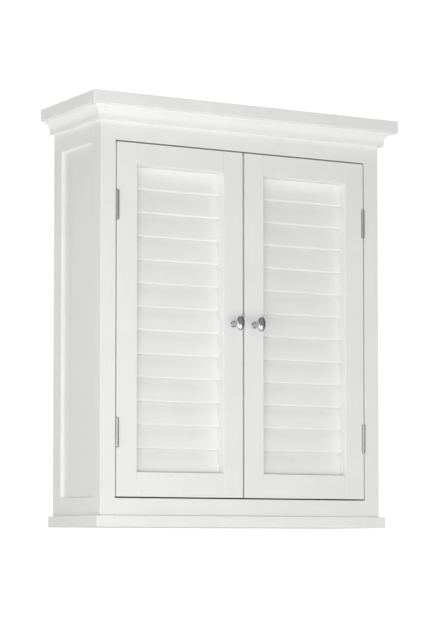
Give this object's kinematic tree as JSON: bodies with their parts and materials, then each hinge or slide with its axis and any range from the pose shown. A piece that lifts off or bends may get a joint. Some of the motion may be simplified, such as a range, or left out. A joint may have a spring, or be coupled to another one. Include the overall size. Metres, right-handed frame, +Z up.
{
  "type": "wall cabinet",
  "caption": "Small hanging wall cabinet with a coved cap, recessed side panels, one adjustable shelf and a pair of framed louvred doors with oval knobs.",
  "frame": {"origin": "on the wall plane, midway between the two wall screw holes of the hanging rail", "axes": "+X to the right seen from the front, +Y into the wall, +Z up; the doors face -Y"},
  "size_m": [0.508, 0.1788, 0.61],
  "materials": {
    "white_paint": "satin white paint on wood fibre board",
    "white_hardboard": "white coated hardboard",
    "beech": "planed, unfinished",
    "chrome": "polished",
    "nickel": "nickel plated steel",
    "zinc": "zinc plated",
    "white_plastic": "moulded",
    "magnet": "sintered, dark"
  },
  "bodies": {
    "case": {"back_panel": "white_hardboard", "back_panel_pins": "zinc", "base_board": "white_paint", "base_screws": "zinc", "cam_bolts": "zinc", "cam_locks": "zinc", "catch_block": "white_paint", "catch_housing": "white_plastic", "catch_magnets": "magnet", "corner_block_screws": "zinc", "corner_blocks": "beech", "dowels": "beech", "floor_battens": "beech", "floor_board": "white_paint", "front_bottom_rail": "white_paint", "front_cove_moulding": "white_paint", "front_top_rail": "white_paint", "hanging_rail": "white_paint", "hinge_and_catch_screws": "nickel", "hinge_pins": "nickel", "left_back_post": "white_paint", "left_cove_moulding": "white_paint", "left_front_post": "white_paint", "left_hinge_frame_leaves": "nickel", "left_side_bottom_rail": "white_paint", "left_side_panel": "white_paint", "left_side_top_rail": "white_paint", "lower_back_rail": "white_paint", "right_back_post": "white_paint", "right_cove_moulding": "white_paint", "right_front_post": "white_paint", "right_hinge_frame_leaves": "nickel", "right_side_bottom_rail": "white_paint", "right_side_panel": "white_paint", "right_side_top_rail": "white_paint", "shelf_pins": "nickel", "top_cap": "white_paint"},
    "shelf": {"shelf": "white_paint"},
    "left_door": {"left_door_bottom_rail": "white_paint", "left_door_hinge_leaves": "nickel", "left_door_hinge_stile": "white_paint", "left_door_knob": "chrome", "left_door_knob_screw": "zinc", "left_door_meeting_stile": "white_paint", "left_door_screws": "nickel", "left_door_slats": "white_paint", "left_door_strike_plate": "nickel", "left_door_top_rail": "white_paint"},
    "right_door": {"right_door_bottom_rail": "white_paint", "right_door_hinge_leaves": "nickel", "right_door_hinge_stile": "white_paint", "right_door_knob": "chrome", "right_door_knob_screw": "zinc", "right_door_meeting_stile": "white_paint", "right_door_screws": "nickel", "right_door_slats": "white_paint", "right_door_strike_plate": "nickel", "right_door_top_rail": "white_paint"}
  },
  "joints": [
    {"name": "left_door_hinge", "type": "hinge", "parent": "case", "child": "left_door", "pos_m": [-0.2054, -0.1544, 0], "axis": [0, 0, -1], "range_deg": [0, 170]},
    {"name": "right_door_hinge", "type": "hinge", "parent": "case", "child": "right_door", "pos_m": [0.2054, -0.1544, 0], "axis": [0, 0, 1], "range_deg": [0, 170]},
    {"name": "shelf_lift", "type": "slide", "parent": "case", "child": "shelf", "axis": [0, 0, 1], "range_m": [0, 0.032]}
  ]
}
